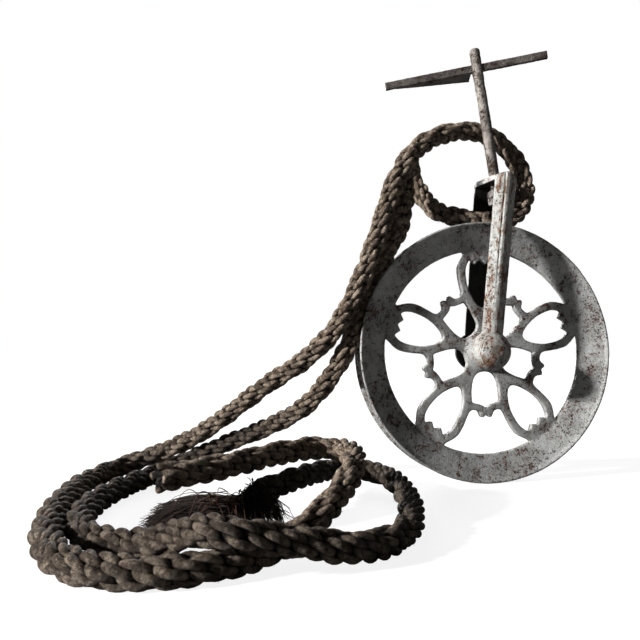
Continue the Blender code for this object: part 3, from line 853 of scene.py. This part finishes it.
def sheave():
    """The cast wheel: rim with rounded lips, web and hub, fused and weathered as one casting."""
    slope = (LIP_OUTER_HALF - INNER_RIM_HALF) / (WHEEL_R - INNER_RIM_R)
    shape = bmesh.new()
    shape.from_mesh(web_mesh())
    bmesh.ops.remove_doubles(shape, verts=shape.verts, dist=0.00001)
    lip = [(WHEEL_R - 0.0022, LIP_OUTER_HALF + 0.0004), (WHEEL_R - 0.0006, LIP_OUTER_HALF - 0.0003),
           (WHEEL_R, LIP_OUTER_HALF - 0.0016), (WHEEL_R - 0.0005, LIP_INNER_HALF)]
    inner = [(WHEEL_R - 0.0060, LIP_OUTER_HALF - 0.0060 * slope),
             (INNER_RIM_R + 0.003, INNER_RIM_HALF + 0.0012), (INNER_RIM_R, INNER_RIM_HALF - 0.0004)]
    groove = [(GROOVE_R + 0.001, GROOVE_HALF + 0.0002), (GROOVE_R, GROOVE_HALF - 0.001)]
    upper = list(reversed(inner)) + lip + groove
    lathe(shape, upper + [(r, -z) for r, z in reversed(upper)], RIM_STEPS)
    hub = [(HUB_BORE_R, HUB_HALF), (HUB_R, HUB_HALF), (HUB_R + 0.0012, 0.010), (HUB_FOOT_R, 0.0048)]
    lathe(shape, hub + [(r, -z) for r, z in reversed(hub)], HUB_STEPS)
    mesh = finished("sheave_casting", shape)
    mesh.transform(Matrix.Rotation(math.pi / 2, 4, "X"))
    made = add_object("sheave_casting", mesh)
    made.location = HUB
    return weathered(made, voxel=0.0011, smoothing=4,
                     dents=[("cast_skin", 0.006, 0.00045), ("cast_dents", 0.03, 0.0006)])


wheel_look = iron("weathered_cast_iron", (0.60, 0.60, 0.585), (0.42, 0.415, 0.40), (0.17, 0.080, 0.050),
                  0.52, 0.1, specks=0.9)
wheel = sheave()
wheel.data.materials.append(wheel_look)
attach(wheel, "sheave")
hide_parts("sheave")

# ---------------------------------------------------------------- yoke


def yoke_stations():
    """Rings of the yoke's bar: (y, z) on its inner face, outward direction, side height and depth."""
    stations = []
    bend = ARM_GAP_HALF + ARM_FLARE - ARCH_CORNER_R
    rise = ARCH_UNDERSIDE - ARCH_CORNER_R
    for z in (-0.004, 0.02, 0.04, 0.06, 0.08, 0.10, 0.12, 0.14, 0.16, 0.18, 0.19):
        stations.append((-ARM_GAP_HALF - ARM_FLARE * max(z, 0.0) / rise, z, math.pi, ARM_SIDE, ARM_DEPTH))
    for step in range(9):
        turn = math.pi - step * math.pi / 16
        share = (step + 1) / 9
        square = max(abs(math.cos(turn)), abs(math.sin(turn))) ** -CORNER_SQUARENESS
        stations.append((-bend + ARCH_CORNER_R * math.cos(turn), rise + ARCH_CORNER_R * math.sin(turn), turn,
                         (ARM_SIDE + (ARCH_SIDE - ARM_SIDE) * share) * square,
                         (ARM_DEPTH + (ARCH_DEPTH - ARM_DEPTH) * share) * square))
    stations += [(-y, z, math.pi - turn, side, depth) for y, z, turn, side, depth in reversed(stations)]
    return [(y, z * (1 + ARCH_SLOPE * y / rise), turn, side, depth) for y, z, turn, side, depth in stations]


def yoke():
    """The forged yoke: a ridged bar with a shallow groove by its ridge, and a domed boss at each foot."""
    shape = bmesh.new()
    rings = []
    for y, z, turn, side, depth in yoke_stations():
        out = Vector((0, math.cos(turn), math.sin(turn)))
        groove = 0.0014 * min(1.0, max(0.0, (z - 0.06) / 0.05))
        section = [(-ARM_HALF, 0), (ARM_HALF, 0), (ARM_HALF, side), (ARM_RIDGE_HALF, depth),
                   (-ARM_RIDGE_HALF, depth), (-ARM_RIDGE_HALF - 0.0010, depth - 0.0006 - groove),
                   (-ARM_RIDGE_HALF - 0.0028, depth - 0.0012), (-ARM_HALF, side)]
        rings.append([shape.verts.new(Vector((x, y, z)) + out * rise) for x, rise in section])
    for low, high in zip(rings, rings[1:]):
        for k in range(len(low)):
            after = (k + 1) % len(low)
            shape.faces.new((low[k], low[after], high[after], high[k]))
    shape.faces.new(rings[0])
    shape.faces.new(rings[-1])
    start = math.asin(BOSS_REACH / BOSS_R)
    for side in (-1, 1):
        angles = [start * (1 - k / DOME_RINGS) for k in range(DOME_RINGS + 1)]
        skin = [(BOSS_R * math.cos(angle), BOSS_R * math.sin(angle)) for angle in angles]
        foot = Matrix.Translation((0, side * ARM_GAP_HALF, 0))
        place = foot @ Matrix.Rotation(-side * math.pi / 2, 4, "X")
        lathe(shape, [(0.0, BOSS_REACH), *skin, (0.0, 0.0)], BOSS_STEPS, place)
    made = add_object("yoke_forging", finished("yoke_forging", shape))
    made.matrix_world = Matrix.Translation(AXLE) @ Matrix.Rotation(YOKE_LEAN, 4, "Y")
    weathered(made, voxel=0.0008, smoothing=3,
              dents=[("forged_skin", 0.005, 0.0004), ("forged_dents", 0.02, 0.0006)])
    return made


def yoke_inside(g, here):
    """One on the yoke's inner faces, which get painted shade as near black, and nought outside."""
    parts = g.add("ShaderNodeSeparateXYZ")
    g.put(parts, 0, here)
    y, z = parts.outputs["Y"], parts.outputs["Z"]
    flare = g.math("MULTIPLY", z, ARM_FLARE / ARCH_UNDERSIDE)
    between = g.span(g.math("SUBTRACT", g.math("ABSOLUTE", y), flare), ARM_GAP_HALF + 0.0004,
                     ARM_GAP_HALF + 0.0012, 1.0, 0.0)
    level = g.math("SUBTRACT", z, g.math("MULTIPLY", y, ARCH_SLOPE))
    under = g.span(level, ARCH_UNDERSIDE + 0.0004, ARCH_UNDERSIDE + 0.0012, 1.0, 0.0)
    return g.math("MULTIPLY", between, under)


CHIP = Vector((-0.0066, -0.0400, -0.0142))
# The yoke's inner faces get painted shade from the mask of yoke_inside.
yoke_look = iron("weathered_forging", (0.62, 0.615, 0.59), (0.46, 0.45, 0.42), (0.33, 0.165, 0.090),
                 0.62, 0.1, specks=0.8, streak=(1.0, 1.0, 0.35), patch=(CHIP, 0.0058),
                 inside_shade=yoke_inside)
yoke_piece = yoke()
yoke_piece.data.materials.append(yoke_look)
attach(yoke_piece, "yoke")
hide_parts("yoke")

# ---------------------------------------------------------------- rod, nuts and bar


def rod_frame(height):
    """The frame on the rod's axis at a height above the axle, its Z along the rod."""
    run = (height - ROD_AT.z) * math.tan(ROD_TILT)
    place = AXLE + Vector((ROD_AT.x + run, ROD_AT.y, height))
    return Matrix.Translation(place) @ Matrix.Rotation(ROD_TILT, 4, "Y")


BAR_FRAME = rod_frame(BAR_CENTRE) @ Matrix.Rotation(BAR_TURN, 4, "Z")


def rod():
    """The swivel rod, hammered over at its head."""
    length = (ROD_TOP - ROD_LOW) / math.cos(ROD_TILT)
    shape = bmesh.new()
    body = [(ROD_R, length * k / 24 * 0.96 + 0.001) for k in range(24, -1, -1)]
    profile = [(0.0, length), (ROD_R * 0.35, length - 0.0002), (ROD_R * 0.72, length - 0.0009),
               (ROD_R * 0.98, length - 0.0026), *body, (ROD_R - 0.001, 0.0), (0.0, 0.0)]
    lathe(shape, profile, 40)
    made = add_object("swivel_rod_forged", finished("swivel_rod_forged", shape))
    made.matrix_world = rod_frame(ROD_LOW)
    return weathered(made, voxel=0.0006, smoothing=3,
                     dents=[("rod_skin", 0.004, 0.0009), ("rod_bends", 0.02, 0.0013)])


def bar():
    """The cross bar on edge through the rod, with its tapering fin."""
    half = BAR_DEPTH / 2
    shape = bmesh.new()
    box_into(shape, (-BAR_LEFT, -half, -BAR_HEIGHT / 2), (BAR_RIGHT, half, BAR_HEIGHT / 2))
    root, low, high = half - 0.001, -BAR_HEIGHT / 2, -BAR_HEIGHT / 2 + FIN_THICK
    outline = [(-FIN_TO, root), (-FIN_FROM, root), (-FIN_FROM, half + FIN_WIDTH)]
    bottom = [shape.verts.new((x, y, low)) for x, y in outline]
    top = [shape.verts.new((x, y, high)) for x, y in outline]
    shape.faces.new(bottom)
    shape.faces.new(top)
    for k in range(3):
        after = (k + 1) % 3
        shape.faces.new((bottom[k], bottom[after], top[after], top[k]))
    made = add_object("cross_bar_forged", finished("cross_bar_forged", shape))
    made.matrix_world = BAR_FRAME
    return weathered(made, voxel=0.00055, smoothing=2,
                     dents=[("bar_skin", 0.004, 0.0006), ("bar_bends", 0.022, 0.0008)])


def nut(name, height, turn):
    """A square nut with worn corners."""
    half = NUT_ACROSS / 2
    shape = bmesh.new()
    box_into(shape, (-half, -half, -NUT_HEIGHT / 2), (half, half, NUT_HEIGHT / 2))
    bmesh.ops.bevel(shape, geom=shape.edges, offset=0.0009, segments=2, affect="EDGES")
    made = add_object(name, finished(name, shape))
    made.matrix_world = rod_frame(height) @ Matrix.Rotation(turn, 4, "Z")
    return weathered(made, voxel=0.0006, smoothing=2, dents=[(name + "_skin", 0.003, 0.0005)])


rod_look = iron("pitted_rod", (0.46, 0.42, 0.385), (0.17, 0.145, 0.125), (0.10, 0.062, 0.046), 0.66, 0.1,
                specks=0.95)
bar_look = iron("pitted_bar", (0.22, 0.195, 0.18), (0.105, 0.088, 0.08), (0.10, 0.052, 0.036), 0.5, 0.2,
                specks=0.85)
nut_look = iron("rusty_nut", (0.40, 0.38, 0.36), (0.22, 0.20, 0.18), (0.20, 0.10, 0.06), 0.5, 0.15)
for piece, node, slot, look in (
        (rod(), "swivel_rod", "rod_iron", rod_look), (bar(), "cross_bar", "bar_iron", bar_look),
        (nut("swivel_nut_square", NUT_CENTRE, 0.0), "swivel_nut", "nut_iron", nut_look),
        (nut("jam_nut_square", JAM_NUT_CENTRE, math.radians(45)), "jam_nut", "nut_iron", nut_look)):
    piece.data.materials.append(look)
    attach(piece, "swivel")
    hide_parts(node)

axle_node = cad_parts["axle_pin"]
axle_node.data.materials.clear()
axle_node.data.materials.append(iron("rusty_axle", (0.50, 0.46, 0.41), (0.30, 0.24, 0.2), (0.24, 0.11, 0.05),
                                     0.6, 0.4))

# ---------------------------------------------------------------- floor and light

SUN_FROM = Vector((-0.916, -0.214, 0.341))
SUN_STRENGTH = 5.6
SUN_ANGLE = math.radians(4)
FILL_FROM = Vector((0.03, 0.93, 0.36))
FILL_STRENGTH = 1.5
FILL_ANGLE = math.radians(25)
SKY_LIGHT = 0.08
SKY_SEEN = 1.0
FLOOR_HALF = 40.0
FLOOR_GREY = 0.24
FLOOR_SEEN = 0.88
VIEW_GAMMA = 0.85


def stage():
    """A plain pale floor that runs far back."""
    shape = bmesh.new()
    bmesh.ops.create_grid(shape, x_segments=1, y_segments=1, size=FLOOR_HALF)
    floor = add_object("floor", finished("floor", shape))
    g = Graph("pale_floor")
    g.shader.inputs["Base Color"].default_value = (FLOOR_GREY, FLOOR_GREY, FLOOR_GREY, 1.0)
    g.shader.inputs["Roughness"].default_value = 0.95
    g.shader.inputs["Specular IOR Level"].default_value = 0.1
    g.shader.inputs["Emission Color"].default_value = (1.0, 1.0, 1.0, 1.0)
    seen = g.add("ShaderNodeLightPath").outputs["Is Camera Ray"]
    g.put(g.shader, "Emission Strength", g.math("MULTIPLY", seen, FLOOR_SEEN))
    floor.data.materials.append(g.material)


def sun(name, come_from, strength, angle):
    """A distant light from one direction, with a soft edge to its shadows."""
    data = bpy.data.lights.new(name, "SUN")
    data.energy = strength
    data.angle = angle
    lamp = bpy.data.objects.new(name, data)
    lamp.rotation_mode = "QUATERNION"
    lamp.rotation_quaternion = (-come_from).to_track_quat("-Z", "Y")
    bpy.context.scene.collection.objects.link(lamp)


def light():
    """A key from the left and a little in front, a soft fill behind, under an even white sky."""
    sun("key", SUN_FROM, SUN_STRENGTH, SUN_ANGLE)
    sun("fill", FILL_FROM, FILL_STRENGTH, FILL_ANGLE)
    world = bpy.data.worlds.new("studio")
    world.use_nodes = True
    tree = world.node_tree
    sky = tree.nodes["Background"]
    sky.inputs["Color"].default_value = (1.0, 1.0, 1.0, 1.0)
    path = tree.nodes.new("ShaderNodeLightPath")
    level = tree.nodes.new("ShaderNodeMapRange")
    level.inputs["To Min"].default_value = SKY_LIGHT
    level.inputs["To Max"].default_value = SKY_SEEN
    tree.links.new(path.outputs["Is Camera Ray"], level.inputs["Value"])
    tree.links.new(level.outputs["Result"], sky.inputs["Strength"])
    bpy.context.scene.world = world
    bpy.context.scene.view_settings.view_transform = "Standard"
    bpy.context.scene.view_settings.gamma = VIEW_GAMMA


stage()
light()
